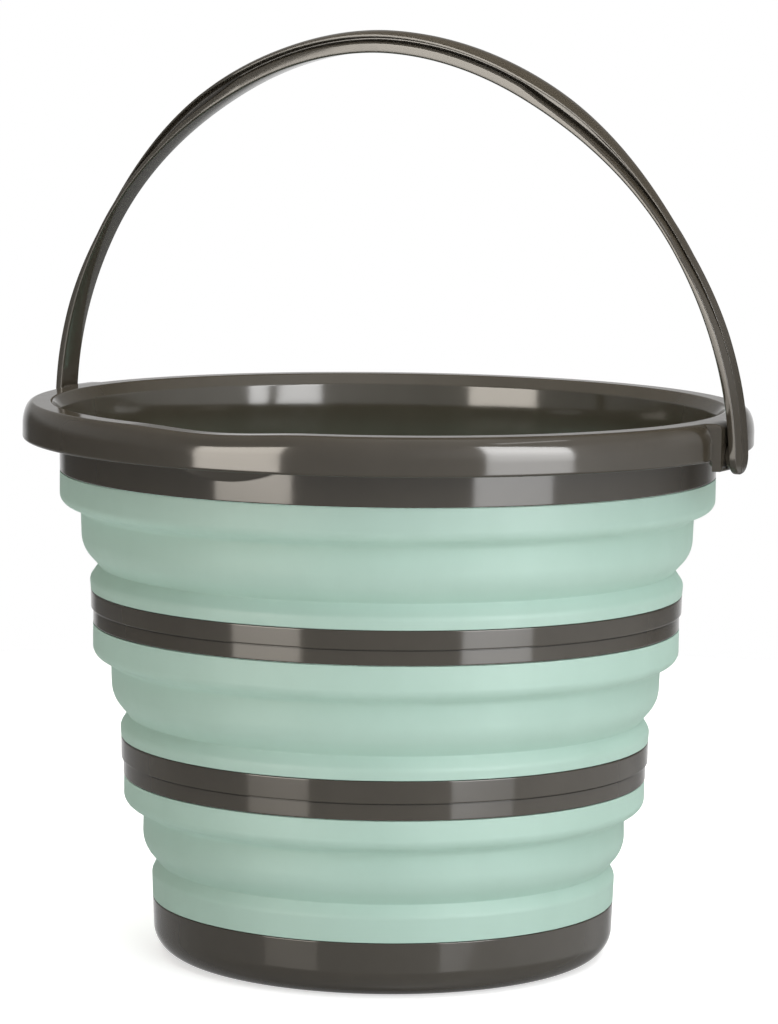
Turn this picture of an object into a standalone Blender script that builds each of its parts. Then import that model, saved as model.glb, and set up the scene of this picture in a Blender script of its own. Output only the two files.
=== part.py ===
"""Collapsible camp bucket: a plastic collar with a bail handle, two plastic rings and a plastic base pan,
joined by three soft bellows walls that fold so that the bucket drops into itself.

Metres, +Z up. The origin is the middle of the base, on the floor. The handle's pivots lie along X, and the
pouring spout faces -Y. Heights run up from the floor, and each piece stands on the one below.
"""

import math

import bmesh
import bpy
from mathutils import Matrix, Vector

# General
SIDES = 48  # flats round the base, a ring or a bellows
COLLAR_SIDES = 72
GAP = 0.0003  # kept between pieces that touch
MAX_ROUND_SHARE = 0.48  # of a side that one rounded corner may take up
MERGE_DISTANCE = 0.00001
SHARP_ANGLE = math.radians(35)

# Materials
PLASTIC_COLOR = (0.078, 0.072, 0.062)
PLASTIC_ROUGHNESS = 0.3
RUBBER_COLOR = (0.46, 0.62, 0.53)
RUBBER_ROUGHNESS = 0.55

# Base pan
BASE_RADIUS = 0.1037
BASE_HEIGHT = 0.0248
BASE_DRAFT = 0.0009  # the side leans in by this much from its top to the floor
BASE_CORNER = 0.016
BASE_WALL = 0.0024
BASE_FLOOR = 0.0028
FOOT_WIDTH = 0.0125  # of the flat ring that the bucket stands on
FOOT_HEIGHT = 0.0012

# Rings. Each clears the piece below it, so that the soft wall folds between the two.
LOWER_RING_CLEARANCE = 0.0118  # from the base pan to the inside of the lower ring
LOWER_RING_HEIGHT = 0.0174
LOWER_RING_SEAM = 0.0075  # height of the seam above the ring's lower edge
UPPER_RING_CLEARANCE = 0.011
UPPER_RING_HEIGHT = 0.0153
UPPER_RING_SEAM = 0.0069
RING_WALL = 0.0028
RING_STEP = 0.0011  # below its seam a ring is narrower by this much
RING_EDGE_ROUND = 0.0005
SEAM_WIDTH = 0.0006
SEAM_DEPTH = 0.0006

# Bellows walls, each a flush band under the piece above, then a shoulder, a belly, a fold line and a crest
BELLOWS_WALL = 0.002
SHOULDER_ROUND = 0.0048
SHOULDER_FALL = 0.0033
BELLY_LEAN = 0.0006
BELLY_ROUND = 0.012
BELLY_RUN = 0.0085  # height over which the belly turns in to the fold line
CREST_STAND = 0.0004  # how far the crest stands proud of the piece below it
CREST_ROUND = 0.004
LOWER_BELLOWS_HEIGHT = 0.0556
LOWER_BAND = 0.012
LOWER_STEP_IN = 0.0089
LOWER_FOLD_RISE = 0.0164
LOWER_FOLD_DEPTH = 0.003
LOWER_CREST_FALL = 0.0054
MIDDLE_BELLOWS_HEIGHT = 0.0509
MIDDLE_BAND = 0.0135
MIDDLE_STEP_IN = 0.008
MIDDLE_FOLD_RISE = 0.0101
MIDDLE_FOLD_DEPTH = 0.0036
MIDDLE_CREST_FALL = 0.0056
UPPER_BELLOWS_HEIGHT = 0.0529
UPPER_BAND = 0.0135
UPPER_STEP_IN = 0.0093
UPPER_FOLD_RISE = 0.0108
UPPER_FOLD_DEPTH = 0.0043
UPPER_CREST_FALL = 0.006

# Collar, a plain wall under a wide rim, whose skirt hangs down outside the wall
COLLAR_CLEARANCE = 0.0114  # from the upper ring to the inside of the collar
COLLAR_WALL = 0.0025
COLLAR_HEIGHT = 0.0306
COLLAR_FLARE = 0.0027  # the wall is wider at the rim than at its foot by this much
RIM_REACH = 0.0165  # from the foot of the wall out to the skirt's outside
RIM_THICKNESS = 0.0026
RIM_ROUND_WIDTH = 0.0045  # of the quarter ellipse from the rim's top to its skirt
RIM_ROUND_HEIGHT = 0.0104
RIM_ROUND_STEPS = 4
CHANNEL_ROUND = 0.0042
MOUTH_ROUND = 0.0024
MOUTH_SLOPE_RUN = 0.0036
MOUTH_SLOPE_FALL = 0.0034
SKIRT_HEIGHT = 0.0162
SKIRT_WALL = 0.0023
SKIRT_EDGE_ROUND = 0.0009

# Pouring spout, where the mouth's edge dips a little and the wall is pushed outwards
SPOUT_HALF_ANGLE = math.radians(15)
SPOUT_REACH = 0.0052
SPOUT_DIP = 0.0012
SPOUT_HEIGHT = 0.024

# Ears, the flat pads that the handle turns in. Each slopes back into the skirt and has a thin foot below it.
EAR_WIDTH = 0.0326
EAR_RISE = 0.0082  # how far an ear's face reaches above the skirt's lower edge
EAR_DROP = 0.0042  # and below it
EAR_STAND = 0.0031  # how far its face stands outside the rim
EAR_THICKNESS = 0.0056
EAR_SIDE_RUN = 0.0115  # width of the slope on each side of the face
EAR_TOP_RUN = 0.0069  # height of the slope above it
EAR_FOOT_THICKNESS = 0.0026
EAR_FOOT_OVERLAP = 0.001
EAR_FOOT_ROUND = 0.0012

# Handle, a bail of one strap whose body is set back under an outer flange, with a thicker grip at the top
PIVOT_RISE = 0.002  # from the skirt's lower edge to the pivots
HANDLE_RISE = 0.1743  # from the pivots to the middle of the strap at the top
HANDLE_CLEARANCE = 0.0047  # from the rim to the inside of a leg
HANDLE_EXPONENT = 1.92  # of the superellipse that the strap follows, where 2 is an ellipse
HANDLE_LEAN = math.radians(3.4)
STRAP_WIDTH = 0.014
STRAP_CROWN = 0.0005
STRAP_ROUND = 0.0006
LEG_THICKNESS = 0.0038
LEG_FLANGE = 0.0018
LEG_GROOVE = 0.0004
LEG_BODY_WIDTH = 0.0124
GRIP_THICKNESS = 0.0096
GRIP_FLANGE = 0.0025
GRIP_GROOVE = 0.0021
GRIP_BODY_WIDTH = 0.0136
GROOVE_DEPTH = 0.0012
GRIP_HALF_ANGLE = math.radians(26)
GRIP_END_ANGLE = math.radians(7)  # over which the grip's body draws in
GRIP_TAPER_ANGLE = math.radians(24)  # over which the strap thins
HANDLE_STEPS = 34
LEG_END_REACH = 0.0078  # from a pivot to the leg's lower end
LEG_END_STEPS = 4

# Pivot pegs, moulded on the insides of the handle's legs
PEG_RADIUS = 0.004
PEG_PLAY = 0.0003  # round the peg and at both faces of the ear
PEG_BOSS_RADIUS = 0.0057
PEG_HEAD_RADIUS = 0.0056
PEG_HEAD_LENGTH = 0.0026
PEG_HEAD_CHAMFER = 0.001
PEG_SIDES = 24

# Radii that follow
LOWER_RING_RADIUS = BASE_RADIUS + LOWER_RING_CLEARANCE + RING_WALL
UPPER_RING_RADIUS = LOWER_RING_RADIUS + UPPER_RING_CLEARANCE + RING_WALL
COLLAR_RADIUS = UPPER_RING_RADIUS + COLLAR_CLEARANCE + COLLAR_WALL
RIM_RADIUS = COLLAR_RADIUS + RIM_REACH
EAR_FACE_X = RIM_RADIUS + EAR_STAND
LEG_INNER_X = RIM_RADIUS + HANDLE_CLEARANCE
HANDLE_HALF_SPAN = LEG_INNER_X + LEG_THICKNESS / 2

# Heights that follow
LOWER_RING_Z = BASE_HEIGHT + LOWER_BELLOWS_HEIGHT
LOWER_RING_TOP_Z = LOWER_RING_Z + LOWER_RING_HEIGHT
UPPER_RING_Z = LOWER_RING_TOP_Z + MIDDLE_BELLOWS_HEIGHT
UPPER_RING_TOP_Z = UPPER_RING_Z + UPPER_RING_HEIGHT
COLLAR_Z = UPPER_RING_TOP_Z + UPPER_BELLOWS_HEIGHT
RIM_Z = COLLAR_Z + COLLAR_HEIGHT
SKIRT_Z = RIM_Z - SKIRT_HEIGHT
PIVOT_Z = SKIRT_Z + PIVOT_RISE


def clear_scene():
    for obj in list(bpy.data.objects):
        bpy.data.objects.remove(obj, do_unlink=True)


def new_collection(name):
    collection = bpy.data.collections.new(name)
    bpy.context.scene.collection.children.link(collection)
    return collection


def new_material(name, color, roughness):
    material = bpy.data.materials.new(name)
    material.use_nodes = True
    shader = material.node_tree.nodes["Principled BSDF"]
    shader.inputs["Base Color"].default_value = (*color, 1)
    shader.inputs["Roughness"].default_value = roughness
    shader.inputs["Metallic"].default_value = 0
    material.diffuse_color = (*color, 1)
    return material


def add_part(name, mesh, material, location=(0, 0, 0)):
    obj = bpy.data.objects.new(name, mesh)
    obj.location = location
    PARTS.objects.link(obj)
    mesh.materials.append(material)
    mesh.shade_smooth()
    mesh.set_sharp_from_angle(angle=SHARP_ANGLE)
    return obj


def add_helper(name, mesh, location=(0, 0, 0)):
    obj = bpy.data.objects.new(name, mesh)
    obj.location = location
    obj.hide_render = True
    obj.display_type = "WIRE"
    CUTTERS.objects.link(obj)
    return obj


def add_boolean(obj, other, operation):
    boolean = obj.modifiers.new(other.name, "BOOLEAN")
    boolean.operation = operation
    boolean.object = other


def mix(start, end, share):
    return start + (end - start) * share


def smooth_step(share):
    share = min(max(share, 0), 1)
    return share * share * (3 - 2 * share)


def rounded(corners):
    """The points of an outline whose corners are (x, z, radius, steps), with each corner turned into an arc."""
    points = []
    for i, (x, z, radius, steps) in enumerate(corners):
        corner = Vector((x, z))
        if radius <= 0:
            points.append(corner)
            continue
        before = Vector(corners[i - 1][:2]) - corner
        after = Vector(corners[(i + 1) % len(corners)][:2]) - corner
        half = before.angle(after) / 2
        reach = min(before.length * MAX_ROUND_SHARE, after.length * MAX_ROUND_SHARE, radius / math.tan(half))
        before.normalize()
        after.normalize()
        centre = corner + (before + after).normalized() * reach / math.cos(half)
        start = corner + before * reach - centre
        end = corner + after * reach - centre
        turn = start.angle(end)
        for step in range(steps + 1):
            share = step / steps
            arm = start * math.sin((1 - share) * turn) + end * math.sin(share * turn)
            points.append(centre + arm / math.sin(turn))
    return points


def offset(points, distance):
    """The points of an open outline moved sideways, to the right of the way that they run."""
    sides = []
    for a, b in zip(points[:-1], points[1:]):
        along = (b - a).normalized()
        sides.append(Vector((along.y, -along.x)))
    moved = [points[0] + sides[0] * distance]
    for point, first, second in zip(points[1:-1], sides[:-1], sides[1:]):
        middle = (first + second).normalized()
        moved.append(point + middle * distance / middle.dot(first))
    moved.append(points[-1] + sides[-1] * distance)
    return moved


def turned(name, points, sides, closed=True):
    """A mesh turned about Z from an outline that runs down its outer side. An open outline ends on the axis."""
    outline = bpy.data.meshes.new(name)
    edges = [(i, i + 1) for i in range(len(points) - 1)]
    if closed:
        edges.append((len(points) - 1, 0))
    outline.from_pydata([(x, 0, z) for x, z in points], edges, [])
    obj = add_helper(name, outline)
    screw = obj.modifiers.new("Turn", "SCREW")
    screw.steps = sides
    screw.render_steps = sides
    screw.use_merge_vertices = not closed
    screw.merge_threshold = MERGE_DISTANCE
    bpy.context.view_layer.update()
    graph = bpy.context.evaluated_depsgraph_get()
    solid = bpy.data.meshes.new_from_object(obj.evaluated_get(graph))
    bpy.data.objects.remove(obj, do_unlink=True)
    return solid


def make_base():
    inner = BASE_RADIUS - BASE_WALL
    foot = BASE_RADIUS - BASE_DRAFT
    foot_inner = foot - BASE_CORNER - FOOT_WIDTH
    floor = FOOT_HEIGHT + BASE_FLOOR
    top = BASE_HEIGHT - GAP / 2
    outline = rounded([
        (0, floor, 0, 0),
        (inner - BASE_DRAFT, floor, BASE_CORNER - BASE_WALL, 3),
        (inner, top, 0, 0),
        (BASE_RADIUS, top, 0, 0),
        (foot, 0, BASE_CORNER, 4),
        (foot_inner, 0, 0, 0),
        (foot_inner - FOOT_HEIGHT, FOOT_HEIGHT, 0, 0),
        (0, FOOT_HEIGHT, 0, 0),
    ])
    return add_part("base_pan", turned("base_pan", outline, SIDES, closed=False), PLASTIC)


def make_ring(name, radius, bottom, height, seam_rise):
    top = bottom + height - GAP / 2
    seam = bottom + seam_rise
    under_seam = seam - SEAM_WIDTH
    lower_radius = radius - RING_STEP
    inner = radius - RING_WALL
    outline = rounded([
        (radius, top, RING_EDGE_ROUND, 1),
        (radius, seam, 0, 0),
        (lower_radius - SEAM_DEPTH, seam, 0, 0),
        (lower_radius - SEAM_DEPTH, under_seam, 0, 0),
        (lower_radius, under_seam, 0, 0),
        (lower_radius, bottom + GAP / 2, RING_EDGE_ROUND, 1),
        (inner, bottom + GAP / 2, 0, 0),
        (inner, top, 0, 0),
    ])
    return add_part(name, turned(name, outline, SIDES), PLASTIC)


def make_bellows(name, bottom, height, radii, band, step_in, fold_rise, fold_depth, crest_fall):
    """A soft wall from the piece below, of the first radius, to the piece above, of the second."""
    lower_radius, upper_radius = radii
    top = bottom + height - GAP / 2
    foot = bottom + GAP / 2
    shoulder = bottom + height - band
    belly = upper_radius - step_in
    crest = lower_radius + CREST_STAND
    fold = bottom + fold_rise
    outer = rounded([
        (upper_radius, top, 0, 0),
        (upper_radius, shoulder, SHOULDER_ROUND, 2),
        (belly, shoulder - SHOULDER_FALL, 0, 0),
        (belly - BELLY_LEAN, fold + BELLY_RUN, BELLY_ROUND, 2),
        (crest - fold_depth, fold, 0, 0),
        (crest, fold - crest_fall, CREST_ROUND, 1),
        (lower_radius, foot, 0, 0),
    ])
    inner = offset(outer, BELLOWS_WALL)
    inner[0].y = top
    inner[-1].y = foot
    return add_part(name, turned(name, outer + inner[::-1], SIDES), RUBBER)


def collar_outline():
    foot = COLLAR_Z + GAP / 2
    under_rim = RIM_Z - RIM_THICKNESS
    skirt_inner = RIM_RADIUS - SKIRT_WALL
    wall_top = COLLAR_RADIUS + COLLAR_FLARE
    mouth = wall_top - COLLAR_WALL
    rim = []
    for step in range(RIM_ROUND_STEPS + 1):
        turn = step / RIM_ROUND_STEPS * math.pi / 2
        inwards = RIM_ROUND_WIDTH * (1 - math.sin(turn))
        down = RIM_ROUND_HEIGHT * (1 - math.cos(turn))
        rim.append((RIM_RADIUS - inwards, RIM_Z - down, 0, 0))
    return rounded([
        *rim,
        (RIM_RADIUS, SKIRT_Z, SKIRT_EDGE_ROUND, 1),
        (skirt_inner, SKIRT_Z, 0, 0),
        (skirt_inner, under_rim, CHANNEL_ROUND, 2),
        (wall_top, under_rim, 0, 0),
        (COLLAR_RADIUS, foot, 0, 0),
        (COLLAR_RADIUS - COLLAR_WALL, foot, 0, 0),
        (mouth, RIM_Z - MOUTH_SLOPE_FALL, MOUTH_ROUND, 1),
        (mouth + MOUTH_SLOPE_RUN, RIM_Z, MOUTH_ROUND, 2),
    ])


def push_out_spout(mesh):
    """Moves the wall outwards and the rim down round the -Y direction, most at the mouth's edge."""
    wall_limit = COLLAR_RADIUS + COLLAR_FLARE + MOUTH_SLOPE_RUN
    for vertex in mesh.vertices:
        x, y, z = vertex.co
        angle = abs(math.atan2(x, -y))
        if angle >= SPOUT_HALF_ANGLE:
            continue
        bump = (1 + math.cos(math.pi * angle / SPOUT_HALF_ANGLE)) / 2
        radius = math.hypot(x, y)
        reach = SPOUT_REACH * bump * smooth_step((z - RIM_Z + SPOUT_HEIGHT) / SPOUT_HEIGHT)
        if radius > wall_limit:
            reach = 0
        dip = SPOUT_DIP * bump * smooth_step((z - SKIRT_Z) / SKIRT_HEIGHT)
        vertex.co = (x * (radius + reach) / radius, y * (radius + reach) / radius, z - dip)


def make_ear(name, side):
    """The part of an ear above the skirt's lower edge, to join to the skirt on one side."""
    ear = bmesh.new()
    low = SKIRT_Z
    high = SKIRT_Z + EAR_RISE
    root_x = EAR_FACE_X - EAR_THICKNESS
    face_y = EAR_WIDTH / 2
    root_y = face_y + EAR_SIDE_RUN
    for x, y, top in ((root_x, root_y, high + EAR_TOP_RUN), (EAR_FACE_X, face_y, high)):
        for corner_y in (-y, y):
            for z in (low, top):
                ear.verts.new((side * x, corner_y, z))
    bmesh.ops.convex_hull(ear, input=ear.verts)
    bmesh.ops.recalc_face_normals(ear, faces=ear.faces)
    mesh = bpy.data.meshes.new(name)
    ear.to_mesh(mesh)
    ear.free()
    return add_helper(name, mesh)


def make_ear_foot(name, side):
    """The part of an ear that hangs below the skirt, with its outer edges rounded."""
    size = Vector((EAR_FOOT_THICKNESS, EAR_WIDTH, EAR_DROP + EAR_FOOT_OVERLAP))
    block = bmesh.new()
    bmesh.ops.create_cube(block, size=1, matrix=Matrix.Diagonal((*size, 1)))
    lower = [edge for edge in block.edges if all(vert.co.z < 0 and vert.co.x * side > 0 for vert in edge.verts)]
    ends = [
        edge for edge in block.edges
        if all(vert.co.z < 0 for vert in edge.verts) and edge.verts[0].co.x * edge.verts[1].co.x < 0
    ]
    bmesh.ops.bevel(block, geom=lower + ends, offset=EAR_FOOT_ROUND, segments=2, profile=0.5, affect="EDGES")
    mesh = bpy.data.meshes.new(name)
    block.to_mesh(mesh)
    block.free()
    return add_helper(name, mesh, (side * (EAR_FACE_X - size.x / 2), 0, SKIRT_Z - EAR_DROP + size.z / 2))


def make_ear_hole(name, side):
    """A cutter for the hole that a peg turns in."""
    drill = bmesh.new()
    bmesh.ops.create_cone(
        drill,
        cap_ends=True,
        segments=PEG_SIDES,
        radius1=PEG_RADIUS + PEG_PLAY,
        radius2=PEG_RADIUS + PEG_PLAY,
        depth=2 * EAR_THICKNESS,
        matrix=Matrix.Rotation(math.pi / 2, 4, "Y"),
    )
    mesh = bpy.data.meshes.new(name)
    drill.to_mesh(mesh)
    drill.free()
    return add_helper(name, mesh, (side * (EAR_FACE_X - EAR_THICKNESS / 2), 0, PIVOT_Z))


def make_collar():
    mesh = turned("top_collar", collar_outline(), COLLAR_SIDES)
    push_out_spout(mesh)
    collar = add_part("top_collar", mesh, PLASTIC)
    for name, side in (("left_ear", -1), ("right_ear", 1)):
        add_boolean(collar, make_ear(name, side), "UNION")
        add_boolean(collar, make_ear_foot(name + "_foot", side), "UNION")
        add_boolean(collar, make_ear_hole(name + "_hole", side), "DIFFERENCE")
    return collar


def strap_point(angle):
    """Where the middle of the strap lies, from the middle between the pivots. The angle is 0 at the top."""
    power = 2 / HANDLE_EXPONENT
    across = math.copysign(abs(math.sin(angle)) ** power, angle)
    return Vector((HANDLE_HALF_SPAN * across, HANDLE_RISE * abs(math.cos(angle)) ** power))


def strap_section(thickness, width_share, grip, body_fill):
    """The strap's outline as (sideways, outwards), from the middle of its outer face and round it."""
    half = STRAP_WIDTH / 2
    body = mix(LEG_BODY_WIDTH, GRIP_BODY_WIDTH, body_fill) / 2
    neck = body - GROOVE_DEPTH
    outer = thickness / 2
    inner = -thickness / 2
    flange = outer - mix(LEG_FLANGE, GRIP_FLANGE, grip)
    shelf = flange - mix(LEG_GROOVE, GRIP_GROOVE, grip)
    side = [
        (half - STRAP_ROUND, outer - STRAP_CROWN),
        (half, outer - STRAP_CROWN - STRAP_ROUND),
        (half, flange),
        (neck, flange),
        (neck, shelf),
        (body, shelf),
        (body, inner + STRAP_ROUND),
        (body - STRAP_ROUND, inner),
    ]
    side = [(sideways * width_share, outwards) for sideways, outwards in side]
    return [(0, outer)] + side + [(0, inner)] + [(-sideways, outwards) for sideways, outwards in side[::-1]]


def strap_ring(handle, middle, along, section):
    """A ring of vertices round the strap, square to the way that it runs."""
    outwards = Vector((-along.y, along.x))
    ring = []
    for sideways, normal in section:
        spot = middle + outwards * normal
        ring.append(handle.verts.new((spot.x, sideways, spot.y)))
    return ring


def strap_rings(handle):
    """The rings from the rounded end of the left leg, over the top, to the end of the right leg."""
    ends = []
    for step in range(LEG_END_STEPS):
        turn = (step + 0.5) / LEG_END_STEPS * math.pi / 2
        ends.append((LEG_END_REACH * math.cos(turn), strap_section(LEG_THICKNESS, math.sin(turn), 0, 0)))
    up = Vector((0, 1))
    rings = []
    for drop, section in ends:
        rings.append(strap_ring(handle, Vector((-HANDLE_HALF_SPAN, -drop)), up, section))
    angles = [math.pi * (step / HANDLE_STEPS - 0.5) for step in range(HANDLE_STEPS + 1)]
    path = [strap_point(angle) for angle in angles]
    ways = [up] + [(b - a).normalized() for a, b in zip(path[:-2], path[2:])] + [-up]
    for angle, middle, along in zip(angles, path, ways):
        past_grip = abs(angle) - GRIP_HALF_ANGLE
        grip = 1 - smooth_step(past_grip / GRIP_TAPER_ANGLE)
        body_fill = 1 - smooth_step(past_grip / GRIP_END_ANGLE)
        section = strap_section(mix(LEG_THICKNESS, GRIP_THICKNESS, grip), 1, grip, body_fill)
        rings.append(strap_ring(handle, middle, along, section))
    for drop, section in ends[::-1]:
        rings.append(strap_ring(handle, Vector((HANDLE_HALF_SPAN, -drop)), -up, section))
    return rings


def make_peg(name, side):
    """A peg to join to the inside of one leg. It fills the gap to the ear, and its head snaps in behind it."""
    root = LEG_INNER_X + LEG_THICKNESS / 2
    boss_end = EAR_FACE_X + PEG_PLAY
    head_start = EAR_FACE_X - EAR_THICKNESS - PEG_PLAY
    head_end = head_start - PEG_HEAD_LENGTH
    outline = [
        (0, root),
        (PEG_BOSS_RADIUS, root),
        (PEG_BOSS_RADIUS, boss_end),
        (PEG_RADIUS, boss_end),
        (PEG_RADIUS, head_start),
        (PEG_HEAD_RADIUS, head_start),
        (PEG_HEAD_RADIUS, head_end + PEG_HEAD_CHAMFER),
        (PEG_HEAD_RADIUS - PEG_HEAD_CHAMFER, head_end),
        (0, head_end),
    ]
    peg = add_helper(name, turned(name, outline, PEG_SIDES, closed=False))
    peg.rotation_euler.y = side * math.pi / 2
    return peg


def make_handle():
    handle = bmesh.new()
    rings = strap_rings(handle)
    for first, second in zip(rings[:-1], rings[1:]):
        for i in range(len(first)):
            j = (i + 1) % len(first)
            handle.faces.new((first[i], first[j], second[j], second[i]))
    handle.faces.new(rings[0][::-1])
    handle.faces.new(rings[-1])
    bmesh.ops.recalc_face_normals(handle, faces=handle.faces)
    mesh = bpy.data.meshes.new("bail_handle")
    handle.to_mesh(mesh)
    handle.free()
    bail = add_part("bail_handle", mesh, PLASTIC, (0, 0, PIVOT_Z))
    bail.rotation_euler.x = HANDLE_LEAN
    for name, side in (("left_peg", -1), ("right_peg", 1)):
        peg = make_peg(name, side)
        peg.parent = bail
        add_boolean(bail, peg, "UNION")
    return bail


clear_scene()
PARTS = new_collection("collapsible_camp_bucket")
CUTTERS = new_collection("cutters")
PLASTIC = new_material("dark_plastic", PLASTIC_COLOR, PLASTIC_ROUGHNESS)
RUBBER = new_material("mint_rubber", RUBBER_COLOR, RUBBER_ROUGHNESS)

make_base()
make_bellows(
    "lower_bellows", BASE_HEIGHT, LOWER_BELLOWS_HEIGHT, (BASE_RADIUS, LOWER_RING_RADIUS - RING_STEP),
    LOWER_BAND, LOWER_STEP_IN, LOWER_FOLD_RISE, LOWER_FOLD_DEPTH, LOWER_CREST_FALL,
)
make_ring("lower_ring", LOWER_RING_RADIUS, LOWER_RING_Z, LOWER_RING_HEIGHT, LOWER_RING_SEAM)
make_bellows(
    "middle_bellows", LOWER_RING_TOP_Z, MIDDLE_BELLOWS_HEIGHT,
    (LOWER_RING_RADIUS, UPPER_RING_RADIUS - RING_STEP),
    MIDDLE_BAND, MIDDLE_STEP_IN, MIDDLE_FOLD_RISE, MIDDLE_FOLD_DEPTH, MIDDLE_CREST_FALL,
)
make_ring("upper_ring", UPPER_RING_RADIUS, UPPER_RING_Z, UPPER_RING_HEIGHT, UPPER_RING_SEAM)
make_bellows(
    "upper_bellows", UPPER_RING_TOP_Z, UPPER_BELLOWS_HEIGHT, (UPPER_RING_RADIUS, COLLAR_RADIUS),
    UPPER_BAND, UPPER_STEP_IN, UPPER_FOLD_RISE, UPPER_FOLD_DEPTH, UPPER_CREST_FALL,
)
make_collar()
make_handle()
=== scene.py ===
"""Looks of the collapsible camp bucket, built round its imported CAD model.

Every piece is a finer copy of a CAD node in the same place. Metres, +Z up, spout towards -Y.
An outline is a list of points (x, z), or of corners (x, z, radius, steps) that are turned into arcs.
"""

import math

import bmesh
import bpy
from mathutils import Matrix, Vector


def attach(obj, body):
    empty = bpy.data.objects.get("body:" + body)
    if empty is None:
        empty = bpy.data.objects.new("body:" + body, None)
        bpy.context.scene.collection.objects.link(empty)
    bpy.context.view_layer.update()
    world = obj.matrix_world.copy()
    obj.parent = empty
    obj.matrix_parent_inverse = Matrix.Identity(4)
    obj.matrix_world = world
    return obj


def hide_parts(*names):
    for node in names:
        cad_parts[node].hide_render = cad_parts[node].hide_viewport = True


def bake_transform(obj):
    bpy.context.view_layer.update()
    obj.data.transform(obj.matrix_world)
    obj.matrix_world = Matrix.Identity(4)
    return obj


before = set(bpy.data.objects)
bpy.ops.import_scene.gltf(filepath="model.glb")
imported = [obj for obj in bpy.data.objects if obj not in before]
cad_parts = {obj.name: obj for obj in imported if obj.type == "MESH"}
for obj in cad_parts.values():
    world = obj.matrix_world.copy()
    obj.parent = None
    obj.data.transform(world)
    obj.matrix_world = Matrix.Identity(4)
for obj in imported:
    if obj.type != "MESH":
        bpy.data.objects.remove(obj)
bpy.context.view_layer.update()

# General
SIDES = 256  # round the base, a ring or a bellows
COLLAR_SIDES = 720
PEG_SIDES = 48
GAP = 0.0003  # between two touching pieces
MAX_ROUND_SHARE = 0.48  # of a side that one rounded corner may take up
EDGE_STAY = 0.00025  # a flat side keeps a loop this far from each rounded corner
STAY_LENGTH = 0.0012  # and only where it is longer than this
MERGE_DISTANCE = 0.000002
SHARP_ANGLE = math.radians(38)

# Heights, from the floor up
BASE_TOP = 0.0248
LOWER_RING_Z = 0.0804
LOWER_RING_TOP = 0.0978
UPPER_RING_Z = 0.1487
UPPER_RING_TOP = 0.164
COLLAR_Z = 0.2169
SKIRT_Z = 0.2313
PIVOT_Z = 0.2333
RIM_Z = 0.2475

# Outer radii
BASE_RADIUS = 0.1037
LOWER_RING_RADIUS = 0.1183
UPPER_RING_RADIUS = 0.1321
COLLAR_RADIUS = 0.146
RIM_RADIUS = 0.1625

# The photograph's camera stands at this azimuth, where 0 looks along +Y
CAMERA_AZIMUTH = math.radians(28)


def smooth_step(share):
    share = min(max(share, 0), 1)
    return share * share * (3 - 2 * share)


def mix(start, end, share):
    return start + (end - start) * share


# Outlines and meshes


def corner_runs(corners, most):
    """The points that take the place of each corner of a closed outline.

    An arc takes up at most the share given of the sides that it joins.
    """
    runs = []
    for i, (x, z, radius, steps) in enumerate(corners):
        corner = Vector((x, z))
        if radius <= 0:
            runs.append([corner])
            continue
        before = Vector(corners[i - 1][:2]) - corner
        after = Vector(corners[(i + 1) % len(corners)][:2]) - corner
        half = before.angle(after) / 2
        reach = min(before.length * most, after.length * most, radius / math.tan(half))
        before.normalize()
        after.normalize()
        centre = corner + (before + after).normalized() * reach / math.cos(half)
        start = corner + before * reach - centre
        end = corner + after * reach - centre
        turn = start.angle(end)
        arc = []
        for step in range(steps + 1):
            share = step / steps
            arm = start * math.sin((1 - share) * turn) + end * math.sin(share * turn)
            arc.append(centre + arm / math.sin(turn))
        runs.append(arc)
    return runs


def rounded(corners):
    """A closed outline's points from its corners, with a stay at both ends of each long side."""
    runs = corner_runs(corners, MAX_ROUND_SHARE)
    points = []
    for i, run in enumerate(runs):
        points.extend(run)
        following = runs[(i + 1) % len(runs)][0]
        along = following - run[-1]
        if along.length > STAY_LENGTH:
            step = along.normalized() * EDGE_STAY
            points.extend([run[-1] + step, following - step])
    return points


def open_outline(corners):
    """As rounded, without the side from the last corner back to the first."""
    points = rounded(corners)
    last = Vector(corners[-1][:2])
    end = max(i for i, point in enumerate(points) if (point - last).length < MERGE_DISTANCE)
    return points[: end + 1]


def offset(points, distance):
    """The points of an open outline moved sideways, to the right of the way that they run."""
    sides = []
    for a, b in zip(points[:-1], points[1:]):
        along = (b - a).normalized()
        sides.append(Vector((along.y, -along.x)))
    moved = [points[0] + sides[0] * distance]
    for point, first, second in zip(points[1:-1], sides[:-1], sides[1:]):
        middle = (first + second).normalized()
        moved.append(point + middle * distance / middle.dot(first))
    moved.append(points[-1] + sides[-1] * distance)
    return moved


def new_mesh(name, solid):
    """The bmesh as a mesh."""
    mesh = bpy.data.meshes.new(name)
    solid.to_mesh(mesh)
    solid.free()
    return mesh


def finish_mesh(mesh):
    mesh.validate()
    mesh.shade_smooth()
    mesh.set_sharp_from_angle(angle=SHARP_ANGLE)
    return mesh


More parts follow.
